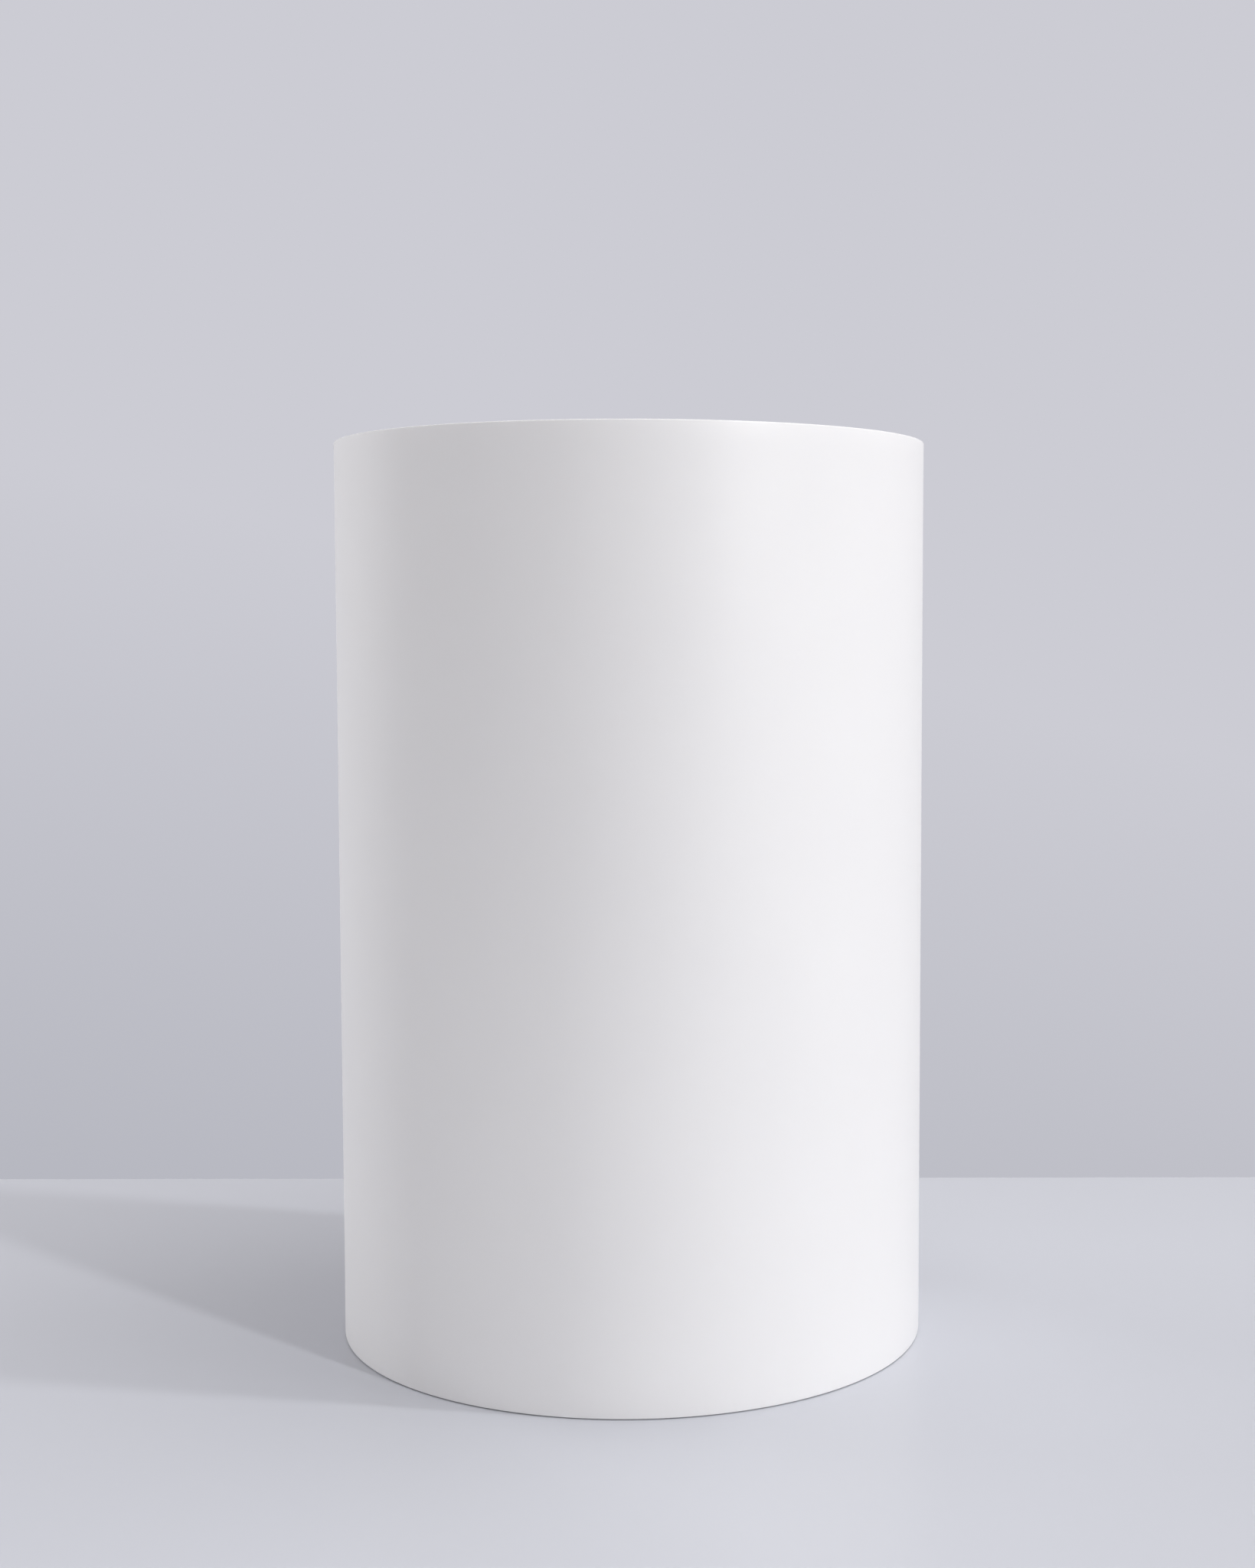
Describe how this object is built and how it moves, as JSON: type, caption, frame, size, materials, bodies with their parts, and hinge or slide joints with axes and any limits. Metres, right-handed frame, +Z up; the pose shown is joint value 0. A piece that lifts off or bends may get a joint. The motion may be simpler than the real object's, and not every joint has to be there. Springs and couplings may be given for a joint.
{
  "type": "cylinder vase",
  "caption": "Tall straight cylinder vase in opaque satin white glass, open at the top, with ground edges, a sealed glass base and thin clear pads under it.",
  "frame": {"origin": "on the vase's axis, at the surface that it stands on", "axes": "+Z up along the vase's axis, out of its open mouth; X and Y pass between the pads"},
  "size_m": [0.35, 0.3499, 0.532],
  "materials": {
    "opal_glass": "opaque white, satin outside, glossy inside, ground edges",
    "base_glass": "opaque white, glossy, ground bevels",
    "clear_sealant": "clear cured silicone, smooth and glossy",
    "clear_pad": "clear soft polyurethane"
  },
  "bodies": {
    "root": {"glass_wall": "opal_glass", "base_disc": "base_glass", "base_seal": "clear_sealant", "foot_pads": "clear_pad"}
  },
  "joints": []
}
